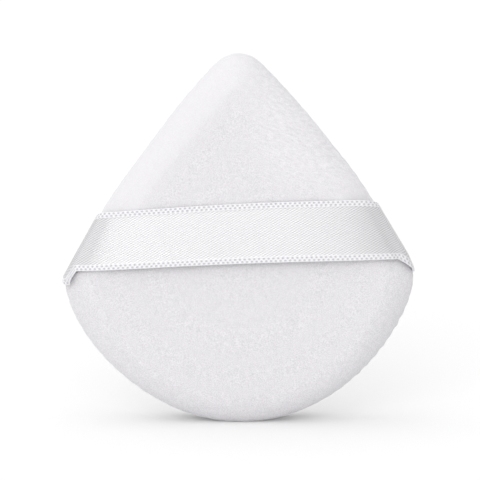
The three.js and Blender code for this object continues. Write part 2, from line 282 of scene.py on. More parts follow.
RIBBON_WIDTH = 11.25
STRAP_HEIGHT = 37.1  # middle of the ribbon above the foot
STRAP_TILT = math.radians(2.2)  # sewn a little askew
STRAP_DROOP = 0.7  # drop of both ends where the ribbon runs over the slanting flanks
STRAP_SLIP = 1.5  # least drop of each end as it turns into the seam
TAIL_HALF_GAP = 0.3  # half of the seam gap where it holds a ribbon end
TAIL_SPREAD = 1.5  # room for the lower edge of an end, which slips further than the upper
TAIL_LIP = 0.8  # beside a ribbon end the seam stays open for this length, and closes over twice as much
LEFT_PULL = (0.7, 0.15)  # how far the taut ribbon's lower and upper edge draw the outline in on the left
RIGHT_PULL = (0.2, 0.2)  # and on the right
PRESS_BEND = 0.2  # how softly the edge bends in under it


def ribbon_height(along, across):
    """Height of the ribbon at a place along it, -1 at the left end to 1 at the right, and a place across
    it, -1 to 1: a slanting line, from which the ends sag as a parabola."""
    middle = STRAP_HEIGHT + along * math.tan(STRAP_TILT) * HALF_WIDTH - along**2 * STRAP_DROOP
    return middle + across * RIBBON_WIDTH / 2


half_way = np.gradient(half_edge, axis=0)
half_slant = -half_way[:, 1] / np.linalg.norm(half_way, axis=1)  # how squarely the outline faces sideways


def half_width(height, inset):
    """Half-width of the outline at a height, moved inwards by inset."""
    width = np.interp(height, half_edge[::-1, 1], half_edge[::-1, 0])
    return width - inset / np.interp(height, half_edge[::-1, 1], half_slant[::-1])


def taut_width(side, height, inset):
    """Half-width at a height along the straight line between the places where the ribbon's two edges cross
    the outline, moved inwards by the ribbon's pull and by inset."""
    low, high = (ribbon_height(side, edge) for edge in (-1, 1))
    low_pull, high_pull = (np.where(side < 0, left, right) for left, right in zip(LEFT_PULL, RIGHT_PULL))
    low_width, high_width = half_width(low, inset + low_pull), half_width(high, inset + high_pull)
    return low_width + (high_width - low_width) * (height - low) / (high - low)


def pressed(points):
    """Panel points (x, height off the seam plane, z) with the edge pushed in to the taut ribbon's line. The
    push is a hyperbola: next to nothing inside the line, and outside it just enough to come back to it."""
    x, height, z = np.moveaxis(points, -1, 0)
    side = np.where(x < 0, -1, 1)
    room = taut_width(side, z, 0) - side * (x - sway(z))
    inwards = (np.sqrt(room**2 + PRESS_BEND**2) - room) / 2
    return np.stack([x - side * inwards, height, z], -1)


def seam_height(share):
    """Half of the gap between the panels along the seam, which opens round each ribbon end."""
    place = on_edge(share, SEAM_DEPTH)
    side = np.sign(place[..., 0])
    top = ribbon_height(side, 1) - STRAP_SLIP
    past = np.maximum(place[..., 1] - top, top - RIBBON_WIDTH - TAIL_SPREAD - place[..., 1])
    opened = np.abs(side) * (1 - smooth_step(past, TAIL_LIP, 3 * TAIL_LIP))
    return SEAM_HALF_GAP + (TAIL_HALF_GAP - SEAM_HALF_GAP) * opened


def square_rings(count):
    """Square grid read as rings round its middle: how far out each point lies, from 0 to 1 on the rim, and
    its share of the way round, clockwise from the middle of the top side."""
    across, up = np.meshgrid(*[np.linspace(-1, 1, count + 1)] * 2)
    out = np.maximum(np.abs(across), np.abs(up))
    sides = [up >= np.abs(across), across >= np.abs(up), -up >= np.abs(across)]
    far = np.where(out == 0, 1, out)
    right, rise = across / far / 8, up / far / 8  # half a side is an eighth of the way round
    share = np.select(sides, [right, 1 / 4 - rise, 1 / 2 - right], 3 / 4 + rise)
    return out, np.mod(share, 1)


def grid_faces(rows, columns, first=0):
    """Four-cornered faces of a grid of points stored row by row."""
    at = first + np.arange(rows * columns).reshape(rows, columns)
    return np.stack([at[:-1, :-1], at[:-1, 1:], at[1:, 1:], at[1:, :-1]], -1).reshape(-1, 4)


def grid_normals(points):
    """Unit normals of a grid of points, from the differences between neighbours."""
    normal = np.cross(np.gradient(points, axis=1), np.gradient(points, axis=0))
    return normal / np.linalg.norm(normal, axis=-1, keepdims=True)


def rim_of(count):
    """Indices of a square grid's rim, clockwise from its top left corner."""
    at = np.arange((count + 1) ** 2).reshape(count + 1, count + 1)
    return np.concatenate([at[-1, :-1], at[:0:-1, -1], at[0, :0:-1], at[:-1, 0]])


def halved(grid, axis):
    """Grid with a point added between each two along an axis, by the smooth rule (-1, 9, 9, -1) / 16. At
    both ends the grid is first carried on straight."""
    grid = np.moveaxis(grid, axis, 0)
    longer = np.concatenate([2 * grid[:1] - grid[1:2], grid, 2 * grid[-1:] - grid[-2:-1]])
    finer = np.empty((2 * len(grid) - 1, *grid.shape[1:]))
    finer[::2] = grid
    finer[1::2] = (9 * (longer[1:-2] + longer[2:-1]) - longer[:-3] - longer[3:]) / 16
    return np.moveaxis(finer, 0, axis)


TRIAL_CELLS = 64
TRIAL_SCALE = 0.01  # the cloth solver works on a puff ten times life size
TRIAL_STEPS = 30
SWELL_START = 0.15  # how far inside its final place the velour starts
SWELL_CAP = 0.25  # furthest that a point may move
SMOOTHINGS = 4  # rounds that even out the solver's result
FOAM_HOLD = 0.25  # how firmly the foam holds the velour, where the seam is 1
SPARE_CLOTH = 0.005  # share by which the velour is cut larger than the foam


def unswollen(out, share):
    """Panel surface before it swells: inside its final place on the face, and less and less towards the
    seam."""
    return skin(out, share, SWELL_START * (1 - smooth_step(out, CROWN_PART, 1)), seam_height(share))


def swell():
    """Shift of each point of a coarse panel grid as the velour, cut a little large, swells over the foam in
    Blender's cloth solver. The seam is held fast, and the foam bears up the rest like a bed of springs."""
    out, share = square_rings(TRIAL_CELLS)
    start = unswollen(out, share)
    rim = rim_of(TRIAL_CELLS)
    points = np.vstack([start.reshape(-1, 3), [[0, 0, CROWN_MIDDLE[1]]]])
    lid = len(points) - 1
    lid_faces = np.stack([rim, np.roll(rim, -1), np.full(len(rim), lid)], 1)
    face_sets = [grid_faces(*out.shape), lid_faces]
    trial = make_piece("swelling_trial", points * TRIAL_SCALE / MM, face_sets, turned=True)
    held = trial.vertex_groups.new(name="held")
    held.add(range(lid), FOAM_HOLD, "REPLACE")
    held.add([*rim.tolist(), lid], 1.0, "REPLACE")
    cloth = trial.modifiers.new("velour", "CLOTH")
    cloth.settings.quality = 10
    cloth.settings.mass = 1.0
    cloth.settings.tension_stiffness = 12
    cloth.settings.compression_stiffness = 12
    cloth.settings.bending_stiffness = 2
    cloth.settings.bending_damping = 5
    cloth.settings.air_damping = 5
    cloth.settings.shrink_min = -SPARE_CLOTH
    cloth.settings.use_pressure = True
    cloth.settings.uniform_pressure_force = 4
    cloth.settings.effector_weights.gravity = 0
    cloth.settings.vertex_group_mass = held.name
    cloth.point_cache.frame_start = 1
    cloth.point_cache.frame_end = TRIAL_STEPS
    for step in range(1, TRIAL_STEPS + 1):
        bpy.context.scene.frame_set(step)
    settled = trial.evaluated_get(bpy.context.evaluated_depsgraph_get()).data
    blown = np.empty(3 * len(points), np.float32)
    settled.vertices.foreach_get("co", blown)
    shift = blown.reshape(-1, 3)[:-1].reshape(start.shape) / TRIAL_SCALE - start
    bpy.context.scene.frame_set(1)
    bpy.data.meshes.remove(trial.data)
    for smoothing in range(SMOOTHINGS):
        shift[1:-1] = (shift[:-2] + 2 * shift[1:-1] + shift[2:]) / 4
        shift[:, 1:-1] = (shift[:, :-2] + 2 * shift[:, 1:-1] + shift[:, 2:]) / 4
    far = np.linalg.norm(shift, axis=-1, keepdims=True)
    return shift * (SWELL_CAP / np.maximum(far, SWELL_CAP))


PANEL_CELLS = 4 * TRIAL_CELLS
FLAT_PART = 0.65  # within this share of the way to the seam the foam's face bears the velour
FREE_ROLL = 0.85  # and past this one it swells freely

panel_out, panel_share = square_rings(PANEL_CELLS)
panel_rim = rim_of(PANEL_CELLS)
seam_share = panel_share.ravel()[panel_rim]
smooth_panel = skin(panel_out, panel_share, np.zeros_like(panel_out), seam_height(panel_share))
shift = halved(halved(halved(halved(swell(), 0), 1), 0), 1)
swollen = unswollen(panel_out, panel_share) + shift
smooth_panel += smooth_step(panel_out, FLAT_PART, FREE_ROLL)[..., None] * (swollen - smooth_panel)
smooth_panel = pressed(smooth_panel)

WAVES = 40
WAVE_SPREAD = (0.7, 1.4)  # shortest and longest, as shares of their usual spacing


def waves(points, spacing, seed):
    """Sum of many plane waves of about one spacing in random directions, scaled to a spread of 1."""
    draw = np.random.default_rng(seed)
    way = draw.normal(size=(WAVES, 3))
    way *= (2 * np.pi / spacing / draw.uniform(*WAVE_SPREAD, WAVES) / np.linalg.norm(way, axis=1))[:, None]
    flat = points.reshape(-1, 3)
    total = sum(np.cos(flat @ k + phase) for k, phase in zip(way, draw.uniform(0, 2 * np.pi, WAVES)))
    return (total / math.sqrt(WAVES / 2)).reshape(points.shape[:-1])


STITCH_LENGTH = 3.0
PUCKER = 0.10  # how far the seam draws in at a stitch
CLOSING_START = 20.0  # turning gap, measured along the seam from the foot up the right side
CLOSING_LENGTH = 24.0
CLOSING_FADE = 4.0  # at both ends of it the hand stitches give way to the machine's
LADDER_PITCH = 2.4
LADDER_BUMP = 0.13  # swelling of the edge between two hand stitches
LADDER_UNEVENNESS = 0.5  # share by which the swellings differ
NAP_RELIEF = 0.008  # unevenness of the sheared pile
NAP_SPACING = 1.3
FINE_NAP = 0.6  # share of the waves of half that spacing
CALM_PART = 0.97  # from here to the seam all relief dies away, so that the panels meet


def panel_points(seed):
    """Outer face of a panel: the smooth one moved along its normals by the pile's unevenness, and by the
    puckers of the seam and the lumps between the hand stitches, which are cosines along it."""
    run = np.mod(0.5 - panel_share, 1) * PERIMETER  # along the seam from the foot up the right side
    closing_end = CLOSING_START + CLOSING_LENGTH
    closing = smooth_step(run, CLOSING_START, CLOSING_START + CLOSING_FADE)
    closing *= 1 - smooth_step(run, closing_end - CLOSING_FADE, closing_end)
    machine = -PUCKER * (0.5 + 0.5 * np.cos(2 * np.pi * run / STITCH_LENGTH))
    by_hand = LADDER_BUMP * np.cos(2 * np.pi * run / LADDER_PITCH) * (1 + LADDER_UNEVENNESS * np.cos(run))
    near_seam = smooth_step(panel_out, CROWN_PART, 1)
    relief = near_seam**2 * (machine * (1 - closing) + by_hand * closing)
    coarse_nap = waves(smooth_panel, NAP_SPACING, seed)
    relief += NAP_RELIEF * (coarse_nap + FINE_NAP * waves(smooth_panel, NAP_SPACING / 2, seed + 1))
    relief *= 1 - smooth_step(panel_out, CALM_PART, 1)
    points = smooth_panel + grid_normals(smooth_panel) * relief[..., None]
    points[..., 2] = np.maximum(points[..., 2], 0)
    return points


def mark(piece, label, value):
    """Gives each point of a piece a value under a label, which its material reads."""
    layer = piece.data.attributes.new(label, "FLOAT", "POINT")
    layer.data.foreach_set("value", value.astype(np.float32))


# shares of the way out, heights, and places from left to right over which two kinds of pile set in; both
# are painted lighter, the even pile of the upper roll as a highlight and the brushed pile as its sheen
LIT_ROLL_PARTS = (CROWN_PART - 0.08, CROWN_PART + 0.05)  # the even pile of the roll
LIT_ROLL_HEIGHTS = (30, 45)
# the brushed pile is painted lighter, as its sheen
BRUSHED_PARTS = (0.3, 0.6)  # the pile that has been brushed over
BRUSHED_HEIGHTS = (40, 50)
BRUSHED_SIDE = (-4, 8)


def make_panel(name, side, seed):
    """Closed shell of a panel on a side of the seam plane, -1 for the strap side and 1 for the powder side:
    its outer face, the allowance turned in at the seam, and its inner side."""
    seam = seam_height(seam_share)
    size = len(panel_rim)
    inner = [
        edge_ring(seam_share, SEAM_DEPTH + ALLOWANCE_WIDTH, seam),
        edge_ring(seam_share, SEAM_DEPTH + ALLOWANCE_WIDTH, seam + ALLOWANCE_THICKNESS),
        edge_ring(seam_share, VELOUR_THICKNESS, seam + ALLOWANCE_THICKNESS),
    ]
    inner_out = [*np.linspace(ROLL_PART, CROWN_PART, 5), *np.array([0.6, 0.3, 0.1]) * CROWN_PART]
    inner += [skin(np.full(size, out), seam_share, VELOUR_THICKNESS) for out in inner_out]
    outer = panel_points(seed).reshape(-1, 3)
    pole = np.array([[0, FACE_PEAK - VELOUR_THICKNESS, CROWN_MIDDLE[1]]])
    points = np.vstack([outer, *inner, pole]) * [1, side, 1] + [0, SEAM_Y, 0]
    first = len(outer)
    last = first + (len(inner) - 1) * size
    around, beside = np.arange(size), (np.arange(size) + 1) % size
    face_sets = [
        grid_faces(*panel_out.shape),
        np.stack([panel_rim, np.roll(panel_rim, -1), first + beside, first + around], 1),
        ring_faces(first, len(inner), size),
        np.stack([last + around, last + beside, 0 * around + len(points) - 1], 1),
    ]
    panel = make_piece(name, points, face_sets, turned=side > 0)
    x, _, z = np.moveaxis(smooth_panel, -1, 0)
    # masks of the brushed pile and of the upper roll, which the material paints lighter as sheen and as a
    # highlight
    brushed = smooth_step(x, *BRUSHED_SIDE) * smooth_step(z, *BRUSHED_HEIGHTS)
    brushed *= smooth_step(panel_out, *BRUSHED_PARTS)
    rolled = smooth_step(panel_out, *LIT_ROLL_PARTS) * smooth_step(z, *LIT_ROLL_HEIGHTS) * (1 - brushed)
    for label, value in (("rolled", rolled), ("brushed", brushed)):
        mark(panel, label, np.pad(value.ravel(), (0, len(points) - first)))
    return panel


# White polyester velour: matt, the tips of the pile catch the light at a slant, and the sheared surface is
# finely mottled because the fibres lean in clumps. On the tight roll of the upper flanks they stand
# evenly, and the colour there is painted lighter as a highlight; right of the tip they have been brushed
# over in short strokes, painted lighter as their sheen.
velour, tree = new_material("sheared_velour")
CLUMP_SIZE = 0.9 * MM
CLUMP_SHARE = 0.2  # of the mottling; the rest is the fibres'
FIBRE_SIZE = 0.17 * MM  # bundles of fibres; single ones, a tenth of this, would not show
STROKE_LENGTH = 1.3 * MM
STROKE_SPACING = 0.36 * MM
STROKE_SLANT = math.radians(20)  # they fall to the right
STROKE_SHARE = 0.38
# painted sheen: the light that the flatter, brushed fibres catch is painted as a lighter tone
STROKE_SHINE = 0.12  # brushed fibres lie flatter and look lighter
# on the upper roll the mottle gives way to one even tone above the average: a painted highlight
EVEN_AND_LIT_SHARE = 0.7
LIT_ROLL_TONE = 0.55
NAP_RANGE = (0.25, 0.75)  # tones between which the colour runs from shade to light
PILE_DEPTH = 0.06 * MM
here = add_node(tree, "TexCoord").outputs["Object"]
clump_noise = {"Vector": here, "Scale": 1 / CLUMP_SIZE, "Detail": 2.0, "Roughness": 0.5}
clumps = add_node(tree, "TexNoise", clump_noise)
fibre_noise = {"Vector": here, "Scale": 1 / FIBRE_SIZE, "Detail": 1.0, "Roughness": 0.5}
fibres = add_node(tree, "TexNoise", fibre_noise)
nap = add_node(tree, "Mix", {"Factor": CLUMP_SHARE, 2: fibres.outputs["Fac"], 3: clumps.outputs["Fac"]})
along_strokes = add_node(
    tree,
    "Mapping",
    {
        "Vector": here,
        "Rotation": (0, STROKE_SLANT, 0),
        "Scale": (STROKE_LENGTH, STROKE_LENGTH, STROKE_SPACING),
    },
    vector_type="TEXTURE",
)
stroke_noise = {"Vector": along_strokes.outputs["Vector"], "Scale": 1.0, "Detail": 1.0}
strokes = add_node(tree, "TexNoise", stroke_noise)
brushing = add_node(tree, "Math", {0: strokes.outputs["Fac"], 1: STROKE_SHINE}, operation="ADD")
# painted light: the brushed strokes lift the tone as sheen, and the upper roll's even tone stands as a
# highlight
for label, share, tone in (
    ("brushed", STROKE_SHARE, brushing.outputs[0]),
    ("rolled", EVEN_AND_LIT_SHARE, LIT_ROLL_TONE),
):
    where = add_node(tree, "Attribute", attribute_name=label)
    amount = add_node(tree, "Math", {0: where.outputs["Fac"], 1: share}, operation="MULTIPLY")
    nap = add_node(tree, "Mix", {"Factor": amount.outputs[0], 2: nap.outputs[0], 3: tone})
velour_colour = add_node(tree, "ValToRGB", {"Fac": nap.outputs[0]})
velour_colour.color_ramp.elements[0].position = NAP_RANGE[0]
velour_colour.color_ramp.elements[0].color = linear("#c5c4c7")
velour_colour.color_ramp.elements[1].position = NAP_RANGE[1]
velour_colour.color_ramp.elements[1].color = linear("#eae8eb")
pile_relief = add_node(tree, "Bump", {"Height": nap.outputs[0], "Strength": 0.5, "Distance": PILE_DEPTH})
velour_surface = add_node(
    tree,
    "BsdfPrincipled",
    {
        "Base Color": velour_colour.outputs["Color"],
        "Roughness": 0.95,
        "Specular IOR Level": 0.15,
        "Sheen Weight": 0.8,
        "Sheen Roughness": 0.4,
        "Sheen Tint": linear("#f8f7fa"),
        "Normal": pile_relief.outputs["Normal"],
    },
)
add_node(tree, "OutputMaterial", {"Surface": velour_surface.outputs["BSDF"]})

for name, node, side, seed in (
    ("strap_side_velour", "strap_side_panel", -1, 11),
    ("powder_side_velour", "powder_side_panel", 1, 23),
):
    panel = make_panel(name, side, seed)
    panel.data.materials.append(velour)
    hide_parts(node)
    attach(panel, "puff")

# Sewing threads
# White spun polyester. Two threads of a lockstitch join the panels inside the seam, and a hand-sewn ladder
# stitch closes the gap on the right edge, through which the puff was turned and filled.

THREAD_RADIUS = 0.2
THREAD_SIDES = 10
LADDER_REACH = 1.6 * THREAD_RADIUS  # of a rung on each side of the seam plane
LADDER_STEPS = 12  # points along each rung
ASIDE = (0, 1, 0.01)  # no stretch of the thread runs this way, so it gives each circle a start


def tube(name, line, radius, sides):
    """Round thread along a row of points: a circle square to the line at each point, with flat end caps."""
    way = np.gradient(line, axis=0)
    way /= np.linalg.norm(way, axis=1)[:, None]
    first = np.cross(way, ASIDE)
    first /= np.linalg.norm(first, axis=1)[:, None]
    second = np.cross(way, first)
    turn = 2 * np.pi * np.arange(sides) / sides
    ring = np.cos(turn)[:, None, None] * first + np.sin(turn)[:, None, None] * second
    points = (line + radius * ring).transpose(1, 0, 2).reshape(-1, 3)
    start_cap = np.arange(sides)[None, ::-1]
    end_cap = np.arange(len(points) - sides, len(points))[None, :]
    return make_piece(name, points, [ring_faces(0, len(line), sides), start_cap, end_cap])


rungs = round(CLOSING_LENGTH / LADDER_PITCH)
rung = np.linspace(0, 2 * rungs, 2 * rungs * LADDER_STEPS + 1)
ladder_share = 0.5 - (CLOSING_START + CLOSING_LENGTH * rung / (2 * rungs)) / PERIMETER
ladder_place = on_edge(ladder_share, np.full(len(rung), SEAM_DEPTH / 2 - FIT_GAP))
ladder_across = -LADDER_REACH * np.cos(np.pi * rung)
ladder = np.stack([ladder_place[:, 0], SEAM_Y + ladder_across, ladder_place[:, 1]], 1)
ladder_stitch = tube("ladder_stitch", ladder, THREAD_RADIUS, THREAD_SIDES)

# Spun polyester sewing thread: fine twisted plies with a slight lustre.
spun_thread, tree = new_material("spun_polyester_thread")
BAND = math.pi / 10  # width of a band of Blender's wave pattern at a scale of 1
PLY_PITCH = 0.5 * MM
PLY_DEPTH = 0.05 * MM
here = add_node(tree, "TexCoord").outputs["Object"]
ply_wave = {"Vector": here, "Scale": BAND / PLY_PITCH, "Distortion": 1.0}
plies = add_node(tree, "TexWave", ply_wave, bands_direction="DIAGONAL").outputs["Fac"]
thread_colour = add_node(tree, "ValToRGB", {"Fac": plies})
thread_colour.color_ramp.elements[0].color = linear("#dcdbdd")
thread_colour.color_ramp.elements[1].color = linear("#f0eff0")
ply_relief = add_node(tree, "Bump", {"Height": plies, "Strength": 0.5, "Distance": PLY_DEPTH})
thread_surface = add_node(
    tree,
    "BsdfPrincipled",
    {
        "Base Color": thread_colour.outputs["Color"],
        "Roughness": 0.6,
        "IOR": 1.55,
        "Sheen Weight": 0.2,
        "Normal": ply_relief.outputs["Normal"],
    },
)
add_node(tree, "OutputMaterial", {"Surface": thread_surface.outputs["BSDF"]})
ladder_stitch.data.materials.append(spun_thread)
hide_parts("closing_thread")
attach(ladder_stitch, "puff")
for node in ("seam_needle_thread", "seam_bobbin_thread"):
    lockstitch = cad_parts[node]
    lockstitch.data.materials.clear()
    lockstitch.data.materials.append(spun_thread)

# Finger strap
# One length of white polyester satin ribbon, its selvedges woven as a dense edge with two rows of small
# holes. It lies over the face, turns round the rolled edge, slips down it a little, and ends in the seam.

WEB_HALF = 0.11  # half of the ribbon's thickness
EDGE_CORD_HALF = 0.16  # and of its selvedges'
STRAP_PEAK = SEAM_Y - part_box("strap_ribbon")[0][1] / MM - EDGE_CORD_HALF  # height of the arch
STRAP_SQUARENESS = 3.5  # exponent of the arch: 2 is an ellipse, more is flatter on top
STRAP_OFFSET = 0.53  # of the middle of the ribbon's thickness outside the outline
STRAP_SINK = 0.55  # between its ends the ribbon lies this much closer to the face than the arch
STRAP_LEAN = 0.7  # and its lower edge stands off by this much more, its upper edge by as much less
SINK_EVENNESS = 6  # exponent: the higher, the further towards the ends both hold
STRAP_HUGS = {-1: 0.15, 1: 0.6}  # how far the lower edge of each end is drawn in to the rolled edge
HUG_START = 0.90  # share of the half-span from which it is
BEND_RADIUS = 0.4  # where it turns into the seam
# on each side: how far out the lower edge leaves its line, over what length, and how far it drops
SLIPS = {-1: (31.5, 0.5, 2.7), 1: (29.8, 4.2, 3.0)}
FOLD_SLANT = 1.0  # the fold moves out by this much for each millimetre up from the lower edge
TURN_STARTS = {-1: 5.4, 1: 6.5}  # height off the seam plane where each end starts to turn down to the seam
TAIL_END = 4.2  # how far inside the outline the ribbon ends
ARCH_STEPS, DOWN_STEPS, BEND_STEPS, TAIL_STEPS = 4000, 100, 100, 200
COLUMN_STEP = 0.12


def strap_run():
    """The ribbon's course from the top of its arch into the seam, as rows of: share of the half-span,
    height off the seam plane, and inset from the outline. The arch is a superellipse down to the rolled
    edge; from there it runs straight to the seam, turns in on a small arc and lies flat between the
    allowances."""
    angle = np.linspace(0, np.pi / 2, ARCH_STEPS, endpoint=False)
    power = 2 / STRAP_SQUARENESS
    arch = ROLL_START + (STRAP_PEAK - ROLL_START) * np.cos(angle) ** power
    down = np.linspace(ROLL_START, BEND_RADIUS, DOWN_STEPS, endpoint=False)
    bend = np.linspace(0, np.pi / 2, BEND_STEPS, endpoint=False)
    tail = np.linspace(BEND_RADIUS - STRAP_OFFSET, TAIL_END, TAIL_STEPS + 1)
    span = np.concatenate([np.sin(angle) ** power, np.ones(len(down) + len(bend) + len(tail))])
    height = np.concatenate([arch, down, BEND_RADIUS * (1 - np.sin(bend)), 0 * tail])
    outside = np.full(len(arch) + len(down), -STRAP_OFFSET)
    inset = np.concatenate([outside, BEND_RADIUS * (1 - np.cos(bend)) - STRAP_OFFSET, tail])
    return span, height, inset


def ribbon_middle(side, across):
    """Grid of points in the middle of the ribbon's thickness, evenly spaced along it from the arch's top to
    the tail's end and at the given places across. Near the seam the lower edge slips down the slanting
    flank at a steady rate, and the ribbon folds over on a slant above it. Off the arch it sinks and leans,
    fading out by a power of the span, and near its end the lower edge is drawn in by a smooth hump."""
    span, height, inset = strap_run()
    line = np.stack([span * HALF_WIDTH - inset, height], 1)
    run = np.concatenate([[0], np.cumsum(np.linalg.norm(np.diff(line, axis=0), axis=1))])
    along = np.linspace(0, run[-1], round(run[-1] / COLUMN_STEP) + 1)
    span, height, inset = (np.interp(along, run, row)[:, None] for row in (span, height, inset))
    slip_from, slip_length, slip_drop = SLIPS[side]
    lower_width = half_width(ribbon_height(side, -1), -STRAP_OFFSET)
    above_edge = (1 + across) * RIBBON_WIDTH / 2
    slip_start = np.interp(slip_from, span[:, 0] * lower_width, along) + FOLD_SLANT * above_edge
    slip = slip_drop * np.clip((along[:, None] - slip_start) / slip_length, 0, 1)
    turned = (TURN_STARTS[side] - height) / (TURN_STARTS[side] - TAIL_HALF_GAP)
    slip = np.maximum(slip, STRAP_SLIP * np.clip(turned, 0, 1))
    z = ribbon_height(side * span, across) - slip
    z_end = ribbon_height(side, across) - slip
    reach = np.minimum(taut_width(side, z_end, inset), half_width(z_end, inset + RIGHT_PULL[0]))
    height = height - (STRAP_SINK + STRAP_LEAN * across) * (1 - span**SINK_EVENNESS)
    end_part = np.clip((span - HUG_START) / (1 - HUG_START), 0, 1)
    height = height - STRAP_HUGS[side] * (1 - across) / 2 * (4 * end_part * (1 - end_part)) ** 2
    return np.stack([span * (side * reach + sway(z)), SEAM_Y - height, z], -1)


HOLE_PITCH = 0.9
HOLE_ROWS = (0.33, 0.80)  # distances of the two rows from the edge
HOLE_LENGTH = 0.58
HOLE_WIDTH = 0.46
HOLE_DEPTH = 0.08
HOLE_STEEPNESS = 4  # exponent of the hole's depth: the higher, the flatter its floor


def holes(along, edge_distance):
    """Depth, from 0 to 1, of the woven holes: two rows of ellipses along the selvedge, set half a pitch
    apart."""
    depth = 0
    for row, start in zip(HOLE_ROWS, (0, 0.5)):
        phase = np.mod(along / HOLE_PITCH + start, 1) - 0.5
        from_hole = np.hypot(phase * HOLE_PITCH / HOLE_LENGTH, (edge_distance - row) / HOLE_WIDTH)
        depth = depth + np.clip(1 - (2 * from_hole) ** HOLE_STEEPNESS, 0, 1)
    return depth


SELVEDGE_WIDTH = 1.2
SELVEDGE_STEP = 0.15  # width over which it rises from the web
EDGE_ROWS, WEB_ROWS = 16, 20  # rows of faces over a selvedge and over half the web
LEAST_ROUND = 0.05  # square of the share of its thickness that the very edge keeps


def make_ribbon_half(name, side):
    """Closed sheet of half the strap, from the top of its arch to its sewn end, and its mean length. The
    two faces lie half a thickness off the middle, more at the selvedges and less at the holes, and the
    thickness ends in a half circle at each edge."""
    edge_rows = RIBBON_WIDTH / 2 - np.linspace(0, SELVEDGE_WIDTH, EDGE_ROWS + 1)
    web_rows = np.linspace(0, edge_rows[-1], WEB_ROWS, endpoint=False)
    rows = np.concatenate([edge_rows, web_rows[::-1]])
    rows = np.concatenate([-rows, rows[-2::-1]])  # millimetres from the ribbon's middle line
    middle = ribbon_middle(side, rows / (RIBBON_WIDTH / 2))
    normal = side * grid_normals(middle.transpose(1, 0, 2)).transpose(1, 0, 2)
    edge_distance = RIBBON_WIDTH / 2 - np.abs(rows)[None, :]
    steps = np.linalg.norm(np.diff(middle, axis=0), axis=-1)
    laid = side * np.vstack([np.zeros(len(rows)), np.cumsum(steps, axis=0)])  # distance along each row
    depth = holes(laid, edge_distance)
    raised = 1 - smooth_step(edge_distance, SELVEDGE_WIDTH - SELVEDGE_STEP, SELVEDGE_WIDTH)
    half = WEB_HALF + (EDGE_CORD_HALF - WEB_HALF) * raised
    rounded = np.sqrt(np.clip(1 - (1 - edge_distance / EDGE_CORD_HALF) ** 2, LEAST_ROUND, 1))
    half = half * np.where(edge_distance < EDGE_CORD_HALF, rounded, 1) - HOLE_DEPTH * depth
    front, back = (middle + sign * normal * half[..., None] for sign in (1, -1))
    points = np.vstack([front.reshape(-1, 3), back.reshape(-1, 3)])
    lengths, columns = depth.shape
    count = lengths * columns
    at = np.arange(count).reshape(lengths, columns)
    skins = [grid_faces(*at.shape), grid_faces(*at.shape, count)[:, ::-1]]
    walls = [
        np.stack([at[:-1, 0], at[1:, 0], count + at[1:, 0], count + at[:-1, 0]], -1),
        np.stack([at[1:, -1], at[:-1, -1], count + at[:-1, -1], count + at[1:, -1]], -1),
    ]
    ends = [
        np.stack([at[0, 1:], at[0, :-1], count + at[0, :-1], count + at[0, 1:]], -1),
        np.stack([at[-1, :-1], at[-1, 1:], count + at[-1, 1:], count + at[-1, :-1]], -1),
    ]
    ribbon = make_piece(name, points, [*skins, *walls, *ends], turned=side > 0)
    mesh = ribbon.data
    # both cut ends are flat with sharp rims, so that the two halves of the strap meet without a line
    smooth = np.ones(len(mesh.polygons), bool)
    smooth[-sum(len(end) for end in ends) :] = False
    mesh.polygons.foreach_set("use_smooth", smooth)
    pairs = np.empty(2 * len(mesh.edges), np.int32)
    mesh.edges.foreach_get("vertices", pairs)
    rank = pairs.reshape(-1, 2) % count // columns
    at_end = (rank[:, 0] == rank[:, 1]) & np.isin(rank[:, 0], (0, lengths - 1))
    mesh.edges.foreach_set("use_edge_sharp", at_end)
    # the map lays the ribbon flat in millimetres, along its rows and across them
    laid_flat = np.stack(np.broadcast_arrays(laid, rows[None, :]), -1).reshape(-1, 2)
    corner = np.empty(len(mesh.loops), np.int32)
    mesh.loops.foreach_get("vertex_index", corner)
    weave = mesh.uv_layers.new(name="weave")
    weave.data.foreach_set("uv", np.tile(laid_flat, (2, 1))[corner].astype(np.float32).ravel())
    # the hole depth is marked so that the material paints the holes darker, as the shade in them
    for label, value in (("shaded_hole", depth), ("selvedge", np.broadcast_to(raised, depth.shape))):
        mark(ribbon, label, np.tile(value.ravel(), 2))
    return ribbon, np.abs(laid[-1]).mean()


# Polyester satin: the smooth filaments run along the ribbon, so that the gloss is wide across it and narrow
# along it and goes where the ribbon turns away. The weave shows as fine lines on a slant. The IOR is above
# polyester's 1.6, for the gloss of filaments that lie side by side.
satin, tree = new_material("polyester_satin")
LINES = ((0.42, 30), (0.385, -26))  # spacing and slant; a little coarser than the weave, to show at all
CROSS_SHARE = 0.35  # the second lines, weaker, break the first into dots
PATCH_SIZE = 1.2  # the lines come out more in some places than in others
PLAIN_TONE = 0.5
WEAVE_DEPTH = 0.05 * MM
flat_place = add_node(tree, "UVMap", uv_map="weave").outputs["UV"]
line_sets = []
for spacing, slant in LINES:
    turn = (0, 0, math.radians(90 - slant))
    turned = add_node(tree, "Mapping", {"Vector": flat_place, "Rotation": turn}).outputs["Vector"]
    line_wave = {"Vector": turned, "Scale": BAND / spacing, "Distortion": 0.5, "Detail": 1.0}
    line_sets.append(add_node(tree, "TexWave", line_wave, bands_direction="X").outputs["Fac"])
lines = add_node(tree, "Mix", {"Factor": CROSS_SHARE, 2: line_sets[0], 3: line_sets[1]})
patches = add_node(tree, "TexNoise", {"Vector": flat_place, "Scale": 1 / PATCH_SIZE, "Detail": 1.0})
woven = add_node(tree, "Mix", {"Factor": patches.outputs["Fac"], 2: PLAIN_TONE, 3: lines.outputs[0]})
line_colour = add_node(tree, "ValToRGB", {"Fac": woven.outputs[0]})
line_colour.color_ramp.elements[0].color = linear("#444348")
line_colour.color_ramp.elements[1].color = linear("#eeedf0")
selvedge = add_node(tree, "Attribute", attribute_name="selvedge")
